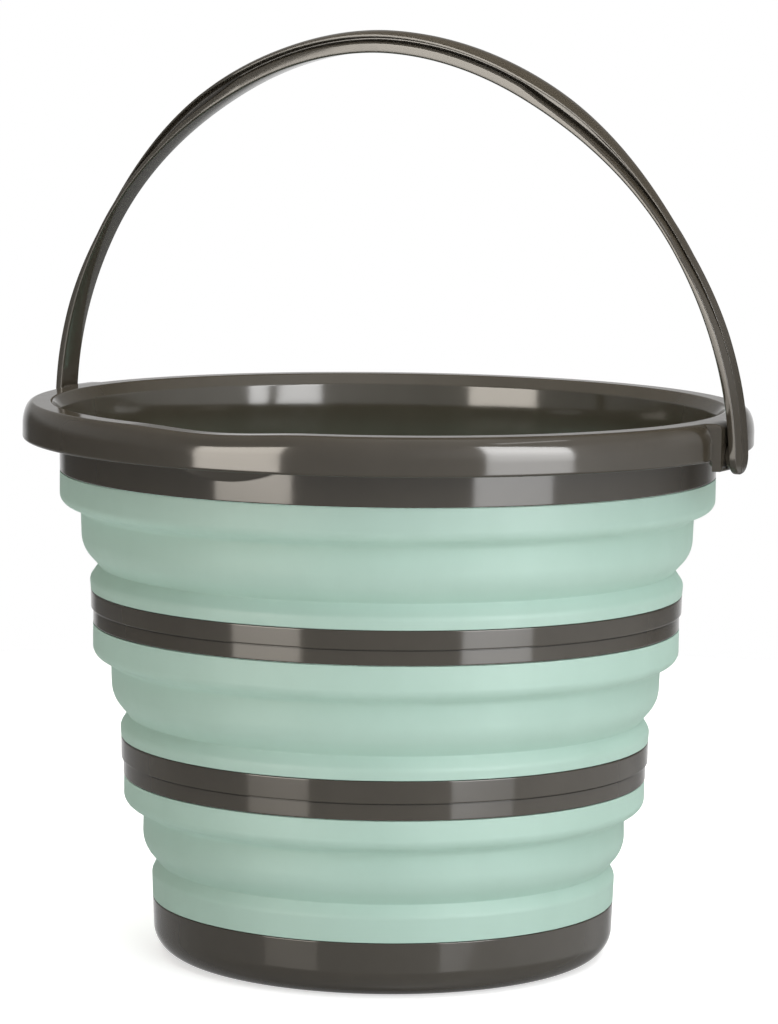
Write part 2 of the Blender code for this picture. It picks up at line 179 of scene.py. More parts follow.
def turned(name, points, sides, closed=True, extra=()):
    """A mesh turned about Z from an outline, with extra angles beside the even ones.

    An open outline starts and ends on the axis. The angles are in radians from -Y towards +X.
    """
    solid = bmesh.new()
    angles = sorted([2 * math.pi * i / sides for i in range(sides)] + list(extra))
    rings = []
    for x, z in points:
        if not closed and abs(x) < MERGE_DISTANCE:
            rings.append([solid.verts.new((0, 0, z))])
            continue
        ring = []
        for angle in angles:
            ring.append(solid.verts.new((x * math.sin(angle), -x * math.cos(angle), z)))
        rings.append(ring)
    pairs = list(zip(rings[:-1], rings[1:]))
    if closed:
        pairs.append((rings[-1], rings[0]))
    for first, second in pairs:
        for i in range(len(angles)):
            j = (i + 1) % len(angles)
            if len(first) == 1:
                solid.faces.new((first[0], second[j], second[i]))
            elif len(second) == 1:
                solid.faces.new((first[i], first[j], second[0]))
            else:
                solid.faces.new((first[i], first[j], second[j], second[i]))
    bmesh.ops.recalc_face_normals(solid, faces=solid.faces)
    return new_mesh(name, solid)


def add_object(name, mesh, material=None, location=(0, 0, 0)):
    obj = bpy.data.objects.new(name, mesh)
    obj.location = location
    bpy.context.scene.collection.objects.link(obj)
    if material:
        mesh.materials.clear()
        mesh.materials.append(material)
    return obj


def combine(mesh, tools):
    """The mesh after each (tool mesh, location, rotation about Y, operation), with nothing left over."""
    base = add_object("combine_base", mesh)
    helpers = []
    for tool, location, turn, operation in tools:
        helper = add_object("combine_tool", tool, location=location)
        helper.rotation_euler.y = turn
        boolean = base.modifiers.new("Combine", "BOOLEAN")
        boolean.operation = operation
        boolean.solver = "EXACT"
        boolean.object = helper
        helpers.append(helper)
    bpy.context.view_layer.update()
    graph = bpy.context.evaluated_depsgraph_get()
    result = bpy.data.meshes.new_from_object(base.evaluated_get(graph))
    for obj in [base, *helpers]:
        bpy.data.objects.remove(obj, do_unlink=True)
    return result


# Materials. Cells are a noise's cells per metre, and depths are those of a bump in metres.
NOISE_LOW = 0.3  # the middle part of a noise's range, which is spread over the values wanted
NOISE_HIGH = 0.7
MATERIAL_IOR = 1.5

PLASTIC_DARK = (0.047, 0.039, 0.028)
PLASTIC_LIGHT = (0.054, 0.045, 0.033)
PLASTIC_TONE_CELLS = 45
PLASTIC_SMOOTH = 0.085
PLASTIC_ROUGH = 0.115
PLASTIC_GLOSS_CELLS = 130
PLASTIC_WAVE_CELLS = 70
PLASTIC_WAVE_STRETCH = (1, 1, 0.5)
PLASTIC_WAVE_DEPTH = 0.00003
PLASTIC_SKIN_CELLS = 900
PLASTIC_SKIN_DEPTH = 0.000001

RUBBER_DARK = (0.445, 0.63, 0.55)
RUBBER_LIGHT = (0.475, 0.665, 0.585)
RUBBER_MOTTLE_CELLS = 30
RUBBER_MOTTLE_STRETCH = (1, 1, 0.45)
RUBBER_SMOOTH = 0.55
RUBBER_ROUGH = 0.63
RUBBER_GLOSS_CELLS = 200
RUBBER_WAVE_CELLS = 60
RUBBER_WAVE_DEPTH = 0.00008
RUBBER_GRAIN_CELLS = 2600
RUBBER_GRAIN_DEPTH = 0.000008


def node(tree, kind, **inputs):
    """A new node. Each input is given by its name, with _ for a space."""
    made = tree.nodes.new(kind)
    for key, value in inputs.items():
        made.inputs[key.replace("_", " ")].default_value = value
    return made


def math_node(tree, operation, first, second):
    """The result of an operation on two values, each a number or another node's output."""
    made = tree.nodes.new("ShaderNodeMath")
    made.operation = operation
    for value, socket in ((first, made.inputs[0]), (second, made.inputs[1])):
        if isinstance(value, bpy.types.NodeSocket):
            tree.links.new(value, socket)
        else:
            socket.default_value = value
    return made.outputs["Value"]


def noise(tree, coordinates, cells, detail, stretch=None):
    source = coordinates
    if stretch:
        mapping = tree.nodes.new("ShaderNodeMapping")
        mapping.inputs["Scale"].default_value = stretch
        tree.links.new(coordinates, mapping.inputs["Vector"])
        source = mapping.outputs["Vector"]
    texture = node(tree, "ShaderNodeTexNoise", Scale=cells, Detail=detail)
    tree.links.new(source, texture.inputs["Vector"])
    return texture.outputs["Fac"]


def remap(tree, value, low, high):
    """A noise's value spread from low to high."""
    mapped = node(
        tree, "ShaderNodeMapRange", From_Min=NOISE_LOW, From_Max=NOISE_HIGH, To_Min=low, To_Max=high
    )
    tree.links.new(value, mapped.inputs["Value"])
    return mapped.outputs["Result"]


def two_tones(tree, value, first, second):
    blend = tree.nodes.new("ShaderNodeMix")
    blend.data_type = "RGBA"
    blend.inputs["A"].default_value = (*first, 1)
    blend.inputs["B"].default_value = (*second, 1)
    tree.links.new(value, blend.inputs["Factor"])
    return blend.outputs["Result"]


def bump(tree, height, depth, below=None):
    """A bump whose height runs over the depth given, on top of another one's normal."""
    made = node(tree, "ShaderNodeBump", Strength=1.0, Distance=depth)
    tree.links.new(height, made.inputs["Height"])
    if below:
        tree.links.new(below, made.inputs["Normal"])
    return made.outputs["Normal"]


def new_material(name):
    material = bpy.data.materials.new(name)
    material.use_nodes = True
    tree = material.node_tree
    shader = tree.nodes["Principled BSDF"]
    shader.inputs["IOR"].default_value = MATERIAL_IOR
    coordinates = tree.nodes.new("ShaderNodeTexCoord").outputs["Object"]
    return material, tree, shader, coordinates


def glossy_plastic(name):
    """Moulded polypropylene: two close tones, a gloss that varies a little, slow waves and a fine skin."""
    material, tree, shader, coordinates = new_material(name)
    tone = remap(tree, noise(tree, coordinates, PLASTIC_TONE_CELLS, 3), 0, 1)
    tree.links.new(two_tones(tree, tone, PLASTIC_DARK, PLASTIC_LIGHT), shader.inputs["Base Color"])
    gloss = remap(tree, noise(tree, coordinates, PLASTIC_GLOSS_CELLS, 4), PLASTIC_SMOOTH, PLASTIC_ROUGH)
    tree.links.new(gloss, shader.inputs["Roughness"])
    swell = noise(tree, coordinates, PLASTIC_WAVE_CELLS, 1, PLASTIC_WAVE_STRETCH)
    waves = bump(tree, swell, PLASTIC_WAVE_DEPTH)
    skin = bump(tree, noise(tree, coordinates, PLASTIC_SKIN_CELLS, 1), PLASTIC_SKIN_DEPTH, waves)
    tree.links.new(skin, shader.inputs["Normal"])
    return material


def satin_rubber(name):
    """Moulded thermoplastic rubber: soft mottling, a satin gloss and a fine matt grain."""
    material, tree, shader, coordinates = new_material(name)
    mottle = remap(tree, noise(tree, coordinates, RUBBER_MOTTLE_CELLS, 4, RUBBER_MOTTLE_STRETCH), 0, 1)
    tree.links.new(two_tones(tree, mottle, RUBBER_DARK, RUBBER_LIGHT), shader.inputs["Base Color"])
    gloss = remap(tree, noise(tree, coordinates, RUBBER_GLOSS_CELLS, 3), RUBBER_SMOOTH, RUBBER_ROUGH)
    tree.links.new(gloss, shader.inputs["Roughness"])
    waves = bump(tree, noise(tree, coordinates, RUBBER_WAVE_CELLS, 1), RUBBER_WAVE_DEPTH)
    grain = bump(tree, noise(tree, coordinates, RUBBER_GRAIN_CELLS, 2), RUBBER_GRAIN_DEPTH, waves)
    tree.links.new(grain, shader.inputs["Normal"])
    return material


# Base pan
BASE_DRAFT = 0.0009
BASE_CORNER = 0.018
BASE_WALL = 0.0024
BASE_FLOOR = 0.0028
BASE_EDGE = 0.0004  # rounding of the two upper edges
FOOT_INNER = 0.0725  # inside edge of the flat ring that the bucket stands on
FOOT_HEIGHT = 0.0012
FOOT_EDGE = 0.0006


def make_base(material):
    top = BASE_TOP - GAP / 2
    inner = BASE_RADIUS - BASE_WALL
    foot = BASE_RADIUS - BASE_DRAFT
    floor = FOOT_HEIGHT + BASE_FLOOR
    outline = open_outline([
        (0, floor, 0, 0),
        (inner - BASE_DRAFT, floor, BASE_CORNER - BASE_WALL, 16),
        (inner, top, BASE_EDGE, 3),
        (BASE_RADIUS, top, BASE_EDGE, 4),
        (foot, 0, BASE_CORNER, 20),
        (FOOT_INNER, 0, FOOT_EDGE, 3),
        (FOOT_INNER - FOOT_HEIGHT, FOOT_HEIGHT, FOOT_EDGE, 3),
        (0, FOOT_HEIGHT, 0, 0),
    ])
    mesh = finish_mesh(turned("base_pan_fine", outline, SIDES, closed=False))
    return add_object("base_pan_fine", mesh, material)


# Rings. The part above the seam stands out a step further than the part below it.
RING_WALL = 0.0028
RING_STEP = 0.0011
RING_DRAFT = 0.00015
RING_EDGE = 0.00045
RING_INNER_EDGE = 0.0003
SEAM_WIDTH = 0.00045
SEAM_DEPTH = 0.0006
SEAM_LIP = 0.00045
SEAM_EDGE = 0.00005
LOWER_SEAM_RISE = 0.0075  # of the seam above the ring's lower edge
UPPER_SEAM_RISE = 0.0069


def make_ring(name, radius, bottom, top, seam_rise, material):
    low = bottom + GAP / 2
    high = top - GAP / 2
    seam = bottom + seam_rise
    lower = radius - RING_STEP
    inner = radius - RING_WALL
    outline = rounded([
        (radius, high, RING_EDGE, 4),
        (radius - RING_DRAFT, seam, SEAM_LIP, 4),
        (lower - SEAM_DEPTH, seam, 0, 0),
        (lower - SEAM_DEPTH, seam - SEAM_WIDTH, 0, 0),
        (lower, seam - SEAM_WIDTH, SEAM_EDGE, 1),
        (lower, low, RING_EDGE, 4),
        (inner, low, RING_INNER_EDGE, 2),
        (inner, high, RING_INNER_EDGE, 2),
    ])
    return add_object(name, finish_mesh(turned(name, outline, SIDES)), material)


# Bellows. Each list gives a soft wall's outer corners from the top down: the ends of its upper band, the
# ends of its belly, the notch and the crest under it, and the end of its lower band.
LOWER_BELLOWS = [
    (0.1169, 0.08025, 0, 0),
    (0.1169, 0.0684, 0.0048, 10),
    (0.1081, 0.0651, 0.0026, 6),
    (0.1083, 0.0493, 0.014, 12),
    (0.1013, 0.0412, 0.0005, 3),
    (0.1041, 0.0358, 0.004, 6),
    (0.1037, 0.02495, 0, 0),
]
MIDDLE_BELLOWS = [
    (0.131, 0.14855, 0, 0),
    (0.131, 0.1352, 0.0048, 10),
    (0.123, 0.1319, 0.0026, 6),
    (0.1224, 0.1163, 0.014, 12),
    (0.1152, 0.1079, 0.0005, 3),
    (0.1186, 0.1023, 0.004, 6),
    (0.1183, 0.09795, 0, 0),
]
UPPER_BELLOWS = [
    (0.146, 0.21675, 0, 0),
    (0.146, 0.2034, 0.0048, 10),
    (0.1367, 0.2001, 0.0026, 6),
    (0.1361, 0.1833, 0.014, 12),
    (0.1283, 0.1748, 0.0005, 3),
    (0.1325, 0.1688, 0.004, 6),
    (0.1321, 0.16415, 0, 0),
]
BELLOWS_WALL = 0.002


def make_bellows(name, corners, material):
    outer = open_outline(corners)
    inner = offset(outer, BELLOWS_WALL)
    inner[0].y = outer[0].y
    inner[-1].y = outer[-1].y
    return add_object(name, finish_mesh(turned(name, outer + inner[::-1], SIDES)), material)


# Collar: the wall below the skirt, the channel behind the skirt, and the wall's inside
COLLAR_WALL = 0.0014
COLLAR_FOOT_EDGE = 0.0004
WALL_FLARE = 0.00025  # how much wider the wall is at the skirt's lower edge than at its foot
WALL_ROW = 0.0004  # height of one of the mesh rows that the spout's swelling needs
WALL_ROWS = 21
CHANNEL_Z = 0.245
CHANNEL_RADIUS = 0.1492
CHANNEL_OUTER_ROUND = 0.0042
CHANNEL_INNER_ROUND = 0.001
CHANNEL_FOOT_RADIUS = 0.14635
CHANNEL_FOOT_Z = 0.2335
CHANNEL_FOOT_ROUND = 0.006
INSIDE_STEPS = 24
INSIDE_FLARE = math.tan(math.radians(2.1))  # of the inner wall from its foot up to the bend
MOUTH_FLARE = math.tan(math.radians(6.3))  # and above the bend
INSIDE_BEND_Z = 0.2335
INSIDE_BEND_HALF = 0.003
MOUTH_EDGE_Z = 0.2427  # of the corner where the wall turns into the slope up to the rim's top
MOUTH_EDGE_ROUND = 0.0024

# Rim
RIM_INNER_RADIUS = 0.1497
RIM_INNER_ROUND = 0.0016
RIM_ROUND_WIDTH = 0.0045  # of the quarter ellipse from the rim's top to its skirt
RIM_ROUND_HEIGHT = 0.0104
RIM_ROUND_STEPS = 26
SKIRT_WALL = 0.0023
SKIRT_TOP_WALL = 0.0025
SKIRT_EDGE = 0.0011
SKIRT_INNER_EDGE = 0.0005
NEAR = 0.0002  # a vertex within this distance of a surface belongs to it

# Spout, and the pouch that the wall swells into under the skirt
SPOUT_HALF_ANGLE = math.radians(16.5)
SPOUT_REACH = 0.005
SPOUT_DIP = 0.0014
SPOUT_HEIGHT = 0.024
SPOUT_LIMIT = 0.1499  # only what is inside this radius moves outwards
POUCH_HALF_ANGLE = math.radians(8.2)
POUCH_LOW = 0.2257  # where the swelling starts, in the spout's middle
POUCH_RISE = 0.0036  # and how much higher it starts at the half angle
POUCH_SLOPE = 0.75  # outwards for each step up
POUCH_REACH = 0.006

# Ears
EAR_HALF_WIDTH = 0.0098
EAR_FACE_X = 0.1656
EAR_FACE_TOP = 0.2451
EAR_TOP_REACH = 0.004  # of the ellipse from the face's top edge inwards to the rim's top
EAR_TOP_MARGIN = 0.00001  # the rim's flat top, this far down, stays as it is
EAR_SKIRT_DEPTH = 0.0022  # the skirt's inner side, deeper than this, stays round
EAR_BOTTOM = 0.2271
EAR_SIDE_SLOPE = 2.05  # inwards for each step sideways, on the slopes beside the face
EAR_COLUMN = 0.00035
EAR_COLUMNS = 18  # of the mesh, over each slope
EAR_THICKNESS = 0.0056
EAR_FOOT_THICKNESS = 0.0034
EAR_FOOT_ROUND = 0.0007
EAR_FOOT_OVERLAP = 0.002  # how far the foot reaches up into the skirt
EAR_FOOT_INSET = 0.00002
PEG_RADIUS = 0.004
PEG_PLAY = 0.0003


def inside_radius(z):
    """The collar's inner radius at a height below the mouth's corner."""
    past = z - INSIDE_BEND_Z
    if abs(past) < INSIDE_BEND_HALF:
        past = (past + INSIDE_BEND_HALF) ** 2 / (4 * INSIDE_BEND_HALF)
    radius = COLLAR_RADIUS - COLLAR_WALL + (z - COLLAR_Z) * INSIDE_FLARE
    return radius + max(past, 0) * (MOUTH_FLARE - INSIDE_FLARE)


def collar_outline():
    foot = COLLAR_Z + GAP / 2
    rim = []
    for step in range(RIM_ROUND_STEPS + 1):
        turn = step / RIM_ROUND_STEPS * math.pi / 2
        inwards = RIM_ROUND_WIDTH * (1 - math.sin(turn))
        down = RIM_ROUND_HEIGHT * (1 - math.cos(turn))
        rim.append((RIM_RADIUS - inwards, RIM_Z - down, 0, 0))
    wall = []
    for row in range(1, WALL_ROWS + 1):
        z = SKIRT_Z - WALL_ROW * row
        wall.append((COLLAR_RADIUS + WALL_FLARE * (z - COLLAR_Z) / (SKIRT_Z - COLLAR_Z), z, 0, 0))
    inside = []
    for step in range(1, INSIDE_STEPS):
        z = mix(foot, MOUTH_EDGE_Z, step / INSIDE_STEPS)
        inside.append((inside_radius(z), z, 0, 0))
    return rounded([
        *rim,
        (RIM_RADIUS, (RIM_Z - RIM_ROUND_HEIGHT + SKIRT_Z) / 2, 0, 0),
        (RIM_RADIUS, SKIRT_Z, SKIRT_EDGE, 6),
        (RIM_RADIUS - SKIRT_WALL, SKIRT_Z, SKIRT_INNER_EDGE, 3),
        (RIM_RADIUS - SKIRT_TOP_WALL, CHANNEL_Z, CHANNEL_OUTER_ROUND, 8),
        (CHANNEL_RADIUS, CHANNEL_Z, CHANNEL_INNER_ROUND, 3),
        (CHANNEL_FOOT_RADIUS, CHANNEL_FOOT_Z, CHANNEL_FOOT_ROUND, 4),
        *wall,
        (COLLAR_RADIUS, foot, COLLAR_FOOT_EDGE, 4),
        (COLLAR_RADIUS - COLLAR_WALL, foot, COLLAR_FOOT_EDGE, 3),
        *inside,
        (inside_radius(MOUTH_EDGE_Z), MOUTH_EDGE_Z, MOUTH_EDGE_ROUND, 8),
        (RIM_INNER_RADIUS, RIM_Z, RIM_INNER_ROUND, 6),
    ])


def push_out_spout(mesh):
    """Moves the wall out and the rim down round the -Y direction, and swells the wall under the skirt."""
    for vertex in mesh.vertices:
        x, y, z = vertex.co
        angle = abs(math.atan2(x, -y))
        if angle >= SPOUT_HALF_ANGLE:
            continue
        wave = (1 + math.cos(math.pi * angle / SPOUT_HALF_ANGLE)) / 2
        radius = math.hypot(x, y)
        reach = 0
        if radius < SPOUT_LIMIT:
            reach = SPOUT_REACH * wave * smooth_step((z - RIM_Z + SPOUT_HEIGHT) / SPOUT_HEIGHT)
            if radius > COLLAR_RADIUS - NEAR and z < CHANNEL_Z - NEAR:
                start = POUCH_LOW + POUCH_RISE * (angle / POUCH_HALF_ANGLE) ** 2
                pouch = min(max(z - start, 0) * POUCH_SLOPE, POUCH_REACH)
                reach = pouch if z < SKIRT_Z else max(reach, pouch)
        dip = SPOUT_DIP * wave * smooth_step((z - SKIRT_Z) / (RIM_Z - SKIRT_Z))
        vertex.co = (x * (radius + reach) / radius, y * (radius + reach) / radius, z - dip)


def ear_angles():
    """The angles of the collar's extra columns, which put an edge on each border of the ears' faces."""
    angles = []
    for step in range(EAR_COLUMNS):
        aside = math.asin((EAR_HALF_WIDTH + step * EAR_COLUMN) / EAR_FACE_X)
        for middle in (math.pi / 2, 3 * math.pi / 2):
            angles.extend([middle - aside, middle + aside])
    return angles


def raise_ears(mesh):
    """Draws the skirt out to the ears: a flat face, a slope on each side and a rounded top edge."""
    for vertex in mesh.vertices:
        x, y, z = vertex.co
        radius = math.hypot(x, y)
        if radius < RIM_RADIUS - RIM_ROUND_WIDTH - NEAR or z > RIM_Z - EAR_TOP_MARGIN:
            continue
        if radius < RIM_RADIUS - EAR_SKIRT_DEPTH and z < CHANNEL_Z + NEAR:
            continue
        aside = max(abs(y) * EAR_FACE_X / radius - EAR_HALF_WIDTH, 0)
        over = max(z - EAR_FACE_TOP, 0) / (RIM_Z - EAR_FACE_TOP)
        top = EAR_TOP_REACH * (1 - math.sqrt(1 - over * over))
        reach = EAR_FACE_X - aside * EAR_SIDE_SLOPE - top
        if reach > abs(x):
            vertex.co.y = y * EAR_FACE_X / radius
            vertex.co.x = math.copysign(reach, x)


def ear_foot_mesh(side, height):
    """The part of an ear that hangs below the skirt. Its lower edges are rounded, except the inner one."""
    size = (EAR_FOOT_THICKNESS, 2 * EAR_HALF_WIDTH, height)
    block = bmesh.new()
    bmesh.ops.create_cube(block, size=1, matrix=Matrix.Diagonal((*size, 1)))
    for vert in block.verts:
        if vert.co.x * side < 0:
            vert.co.y += math.copysign(EAR_FOOT_THICKNESS / EAR_SIDE_SLOPE, vert.co.y)
    edges = []
    for edge in block.edges:
        a, b = (vert.co for vert in edge.verts)
        low = a.z < 0 and b.z < 0
        outside = a.x * side > 0 and b.x * side > 0
        crosses = a.x * b.x < 0
        if low and (outside or crosses):
            edges.append(edge)
    bmesh.ops.bevel(block, geom=edges, offset=EAR_FOOT_ROUND, segments=4, profile=0.5, affect="EDGES")
    return new_mesh("ear_foot", block)


def drill_mesh(radius, depth):
    drill = bmesh.new()
    bmesh.ops.create_cone(
        drill, cap_ends=True, segments=PEG_SIDES, radius1=radius, radius2=radius, depth=depth
    )
    return new_mesh("drill", drill)


def make_collar(material):
    mesh = turned("top_collar_fine", collar_outline(), COLLAR_SIDES, extra=ear_angles())
    push_out_spout(mesh)
    raise_ears(mesh)
    tools = []
    foot_top = SKIRT_Z + EAR_FOOT_OVERLAP
    for side in (-1, 1):
        foot_x = side * (EAR_FACE_X - EAR_FOOT_THICKNESS / 2 - EAR_FOOT_INSET)
        foot = ear_foot_mesh(side, foot_top - EAR_BOTTOM)
        tools.append((foot, (foot_x, 0, (foot_top + EAR_BOTTOM) / 2), 0, "UNION"))
        hole_x = side * (EAR_FACE_X - EAR_THICKNESS / 2)
        hole = drill_mesh(PEG_RADIUS + PEG_PLAY, 2 * EAR_THICKNESS)
        tools.append((hole, (hole_x, 0, PIVOT_Z), math.pi / 2, "DIFFERENCE"))
    return add_object("top_collar_fine", finish_mesh(combine(mesh, tools)), material)


# Handle. Its middle line is part of a superellipse, where an exponent of 2 makes an ellipse.
HANDLE_RISE = 0.1743
HANDLE_HALF_SPAN = 0.16945
HANDLE_EXPONENT = 1.92
HANDLE_LEAN = math.radians(3.4)
HANDLE_STEPS = 480
LEG_INNER_X = 0.1676
LEG_THICKNESS = 0.0037
GRIP_THICKNESS = 0.0096
GRIP_HALF_ANGLE = math.radians(26)
GRIP_TAPER_ANGLE = math.radians(33)

# The strap's side along the handle, by the angle off its top in degrees: the crown's fall, the flange's
# half width and edge, the groove's depth under the flange, the body's height and the body's half width
STRAP_STOPS = [
    (0, 0.0014, 0.007, 0.0012, 0.0042, 0.0049, 0.0068),
    (25.5, 0.0014, 0.007, 0.0012, 0.0042, 0.0048, 0.0068),
    (29, 0.0012, 0.0067, 0.0011, 0.0046, 0.0037, 0.0069),
    (33, 0.0009, 0.006, 0.0009, 0.0042, 0.0032, 0.007),
    (42, 0.0004, 0.0044, 0.0008, 0.0032, 0.0026, 0.007),
    (52, 0.0002, 0.0032, 0.0008, 0.0021, 0.0024, 0.007),
    (60, 0.0001, 0.0026, 0.0007, 0.0012, 0.0023, 0.007),
    (72, 0.0001, 0.0006, 0.0002, 0.00005, 0.0033, 0.007),
    (80, 0.00005, 0.0006, 0.00005, 0.00003, 0.0035, 0.007),
    (90, 0.00005, 0.0006, 0.00005, 0.00003, 0.0035, 0.007),
]
STRAP_ROUND_SHARE = 0.45  # of a side that one rounded corner may take up
CROWN_SHARE = 0.6  # of the half width, at the crown's one point between its middle and its edge
CROWN_EDGE = 0.0003
FLANGE_EDGE = 0.0002
GROOVE_ROUND = 0.0012
GROOVE_WALL_SHARE = 0.9  # of the groove's height that its wall goes straight down
GROOVE_MIN_HEIGHT = 0.00005
BODY_ROUND = 0.0011  # of the body's outer corner in the grip and the arms
LEG_ROUND = 0.0003  # and in the legs
LEG_START = 58  # degrees off the top where it starts to change from one to the other
LEG_CHANGE = 12  # and the degrees that this takes
BODY_INNER_ROUND = 0.0008
LEG_END_REACH = 0.0078  # from a pivot to the leg's lower end
LEG_END_STEPS = 14

# Pegs on the legs' insides, and the small moulding mark on each leg
PEG_BOSS_RADIUS = 0.0057
PEG_HEAD_RADIUS = 0.0056
PEG_HEAD_LENGTH = 0.0026
PEG_HEAD_CHAMFER = 0.001
MARK_RADIUS = 0.0012
MARK_DEPTH = 0.0003
MARK_RISE = 0.0075  # above the pivot


def strap_point(angle):
    power = 2 / HANDLE_EXPONENT
    across = math.copysign(abs(math.sin(angle)) ** power, angle)
    return Vector((HANDLE_HALF_SPAN * across, HANDLE_RISE * abs(math.cos(angle)) ** power))


def strap_stop(degrees):
    """The row of STRAP_STOPS for an angle, between the nearest two."""
    for low, high in zip(STRAP_STOPS[:-1], STRAP_STOPS[1:]):
        if degrees <= high[0]:
            share = (degrees - low[0]) / (high[0] - low[0])
            return [mix(a, b, share) for a, b in zip(low[1:], high[1:])]
    return STRAP_STOPS[-1][1:]


def strap_section(thickness, degrees):
    """The strap's outline as (sideways, outwards), round it once."""
    crown, half, edge, groove, body_height, body = strap_stop(degrees)
    outer = thickness / 2
    inner = -thickness / 2
    flange = outer - crown - edge
    shelf = min(inner + body_height, flange - GROOVE_MIN_HEIGHT)
    neck = half - groove
    wall = mix(flange, shelf, GROOVE_WALL_SHARE)
    corner = mix(BODY_ROUND, LEG_ROUND, smooth_step((degrees - LEG_START) / LEG_CHANGE))
    side = [
        (0, outer, 0, 0),
        (half * CROWN_SHARE, outer - crown * CROWN_SHARE**2, 0, 0),
        (half, outer - crown, CROWN_EDGE, 4),
        (half, flange, FLANGE_EDGE, 3),
        (neck, flange, GROOVE_ROUND, 5),
        (neck, wall, GROOVE_ROUND, 5),
        (body, shelf, corner, 6),
        (body, inner, BODY_INNER_ROUND, 5),
    ]
    mirrored = [(-x, z, radius, steps) for x, z, radius, steps in side[1:][::-1]]
    points = []
    for run in corner_runs(side + [(0, inner, 0, 0)] + mirrored, STRAP_ROUND_SHARE):
        points.extend(run)
    return points


def strap_ring(handle, middle, along, section, width_share=1):
    """One ring of the strap. A width share under 1 narrows it, and thins it as a round end does."""
    outwards = Vector((-along.y, along.x))
    thickness_share = math.sqrt(1 - (1 - width_share) ** 2)
    ring = []
    for sideways, normal in section:
        spot = middle + outwards * normal * thickness_share
        ring.append(handle.verts.new((spot.x, sideways * width_share, spot.y)))
    return ring


def strap_mesh():
    """The strap in the XZ plane, with the pivots at Z 0 and a round lower end on each leg."""
    handle = bmesh.new()
    up = Vector((0, 1))
    leg = strap_section(LEG_THICKNESS, 90)
    ends = []
    for step in range(LEG_END_STEPS):
        turn = (step + 0.5) / LEG_END_STEPS * math.pi / 2
        ends.append((LEG_END_REACH * math.cos(turn), math.sin(turn)))
    rings = []
    for drop, share in ends:
        rings.append(strap_ring(handle, Vector((-HANDLE_HALF_SPAN, -drop)), up, leg, share))
    angles = [math.pi * (step / HANDLE_STEPS - 0.5) for step in range(HANDLE_STEPS + 1)]
    path = [strap_point(angle) for angle in angles]
    ways = [up] + [(b - a).normalized() for a, b in zip(path[:-2], path[2:])] + [-up]
    for angle, middle, along in zip(angles, path, ways):
        grip = 1 - smooth_step((abs(angle) - GRIP_HALF_ANGLE) / GRIP_TAPER_ANGLE)
        section = strap_section(mix(LEG_THICKNESS, GRIP_THICKNESS, grip), math.degrees(abs(angle)))
        rings.append(strap_ring(handle, middle, along, section))
    for drop, share in ends[::-1]:
        rings.append(strap_ring(handle, Vector((HANDLE_HALF_SPAN, -drop)), -up, leg, share))
    for first, second in zip(rings[:-1], rings[1:]):
        for i in range(len(first)):
            j = (i + 1) % len(first)
            handle.faces.new((first[i], first[j], second[j], second[i]))
    handle.faces.new(rings[0][::-1])
    handle.faces.new(rings[-1])
    bmesh.ops.recalc_face_normals(handle, faces=handle.faces)
    return new_mesh("strap", handle)


def peg_mesh():
    """The pivot peg along +Z, from inside the leg to the head behind the ear."""
    root = LEG_INNER_X + LEG_THICKNESS / 2
    boss_end = EAR_FACE_X + PEG_PLAY
    head_start = EAR_FACE_X - EAR_THICKNESS - PEG_PLAY
    head_end = head_start - PEG_HEAD_LENGTH
    outline = [
        (0, root),
        (PEG_BOSS_RADIUS, root),
        (PEG_BOSS_RADIUS, boss_end),
        (PEG_RADIUS, boss_end),
        (PEG_RADIUS, head_start),
        (PEG_HEAD_RADIUS, head_start),
        (PEG_HEAD_RADIUS, head_end + PEG_HEAD_CHAMFER),
        (PEG_HEAD_RADIUS - PEG_HEAD_CHAMFER, head_end),
        (0, head_end),
    ]
    return turned("peg", outline, PEG_SIDES, closed=False)


def make_handle(material):
    tools = []
    outer_x = HANDLE_HALF_SPAN + LEG_THICKNESS / 2
    for side in (-1, 1):
        tools.append((peg_mesh(), (0, 0, 0), side * math.pi / 2, "UNION"))
        mark = drill_mesh(MARK_RADIUS, 2 * MARK_DEPTH)
        tools.append((mark, (side * outer_x, 0, MARK_RISE), math.pi / 2, "DIFFERENCE"))
    mesh = combine(strap_mesh(), tools)
    mesh.transform(Matrix.Translation((0, 0, PIVOT_Z)) @ Matrix.Rotation(HANDLE_LEAN, 4, "X"))
    return add_object("bail_handle_fine", finish_mesh(mesh), material)


# Camera, fitted to the photograph
CAMERA_DISTANCE = 1.853
CAMERA_HEIGHT = 0.4173
CAMERA_PITCH = math.radians(6.745)
CAMERA_ROLL = math.radians(0.691)
CAMERA_SIDE = 0.0007
CAMERA_PIXELS = 4176  # focal length in pixels of the photograph, which is 1024 high
CAMERA_CLIP_END = 20
PICTURE_HEIGHT = 1024
SENSOR = 36


def make_camera():
    camera = bpy.data.objects.new("camera", bpy.data.cameras.new("camera"))
    bpy.context.scene.collection.objects.link(camera)
    forward = Vector((0, math.cos(CAMERA_PITCH), -math.sin(CAMERA_PITCH)))
    up = Vector((0, math.sin(CAMERA_PITCH), math.cos(CAMERA_PITCH)))
    right = Vector((1, 0, 0))
    rolled_right = right * math.cos(CAMERA_ROLL) + up * math.sin(CAMERA_ROLL)
    rolled_up = up * math.cos(CAMERA_ROLL) - right * math.sin(CAMERA_ROLL)
    axes = Matrix((rolled_right, rolled_up, -forward)).transposed().to_4x4()
    place = Matrix.Translation((CAMERA_SIDE, -CAMERA_DISTANCE, CAMERA_HEIGHT)) @ axes
    camera.matrix_world = Matrix.Rotation(CAMERA_AZIMUTH, 4, "Z") @ place
    camera.data.sensor_width = SENSOR
    camera.data.lens = CAMERA_PIXELS * SENSOR / PICTURE_HEIGHT
    camera.data.clip_end = CAMERA_CLIP_END
    bpy.context.scene.camera = camera


